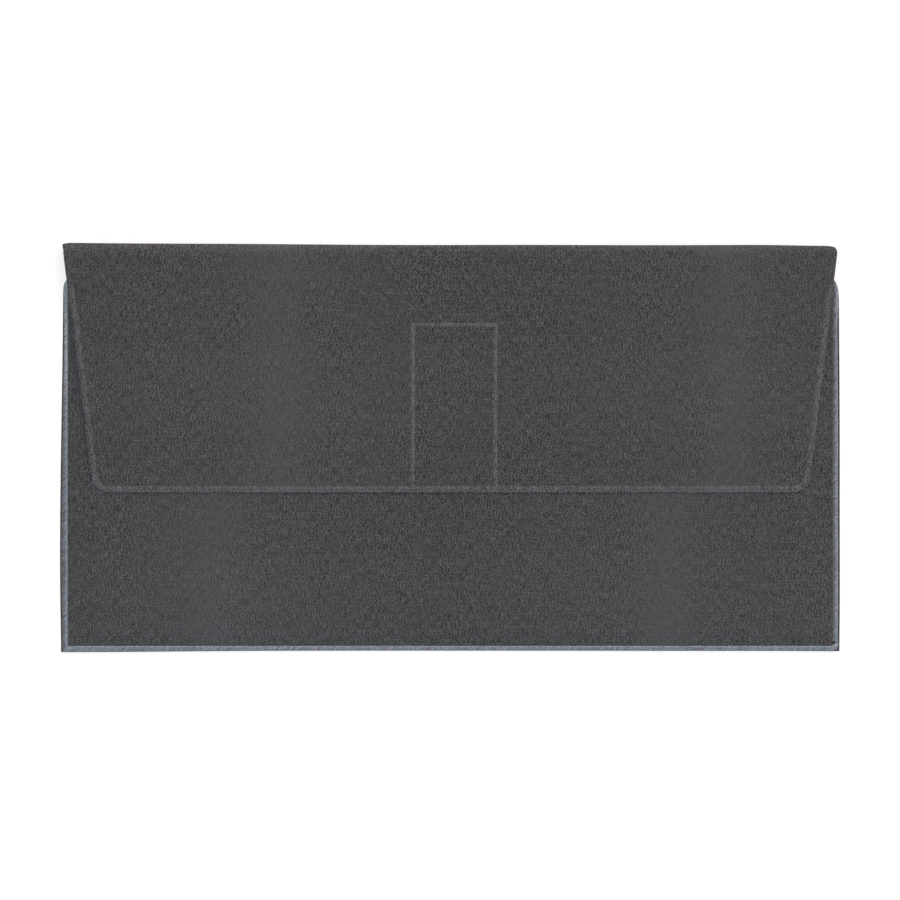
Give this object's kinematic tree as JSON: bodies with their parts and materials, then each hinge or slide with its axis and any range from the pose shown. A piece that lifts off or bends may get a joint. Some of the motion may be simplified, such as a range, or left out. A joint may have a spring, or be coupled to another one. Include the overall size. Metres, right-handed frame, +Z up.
{
  "type": "card wallet",
  "caption": "Flat envelope-style wallet in dark grained vinyl with welded seams, a tapered fold-over flap, a compartment for folded papers and clear card pockets.",
  "frame": {"origin": "middle of the footprint, on the surface that the closed wallet lies on", "axes": "+X along the fold to the right, +Y across the wallet towards the fold, +Z up out of the flap"},
  "size_m": [0.2406, 0.1254, 0.0078],
  "materials": {
    "grained_cover": "leather-grained vinyl, low sheen",
    "seam_weld": "pressed and finely knurled vinyl weld",
    "flap_weld": "pressed vinyl weld with flattened grain",
    "lining": "smooth vinyl lining with a fine linen emboss",
    "clear_film": "clear glossy film",
    "film_weld": "pressed clear film weld"
  },
  "bodies": {
    "pocket": {"back_cover": "grained_cover", "back_lining": "lining", "front_cover": "grained_cover", "left_seam": "seam_weld", "right_seam": "seam_weld", "bottom_seam": "seam_weld", "left_card_window": "clear_film", "right_card_window": "clear_film", "left_card_weld": "film_weld", "right_card_weld": "film_weld"},
    "spine": {"spine_cover": "grained_cover", "spine_lining": "lining"},
    "flap": {"flap_cover": "grained_cover", "flap_lining": "lining", "flap_weld": "flap_weld"}
  },
  "joints": [
    {"name": "spine_fold", "type": "hinge", "parent": "pocket", "child": "spine", "pos_m": [0, 0.06206, 0.00069], "axis": [-1, 0, 0], "range_deg": [0, 90]},
    {"name": "flap_fold", "type": "hinge", "parent": "spine", "child": "flap", "pos_m": [0, 0.06206, 0.00696], "axis": [-1, 0, 0], "range_deg": [0, 90]}
  ],
  "couplings": [
    {"joint": "spine_fold", "follows": "flap_fold", "ratio": 1}
  ]
}
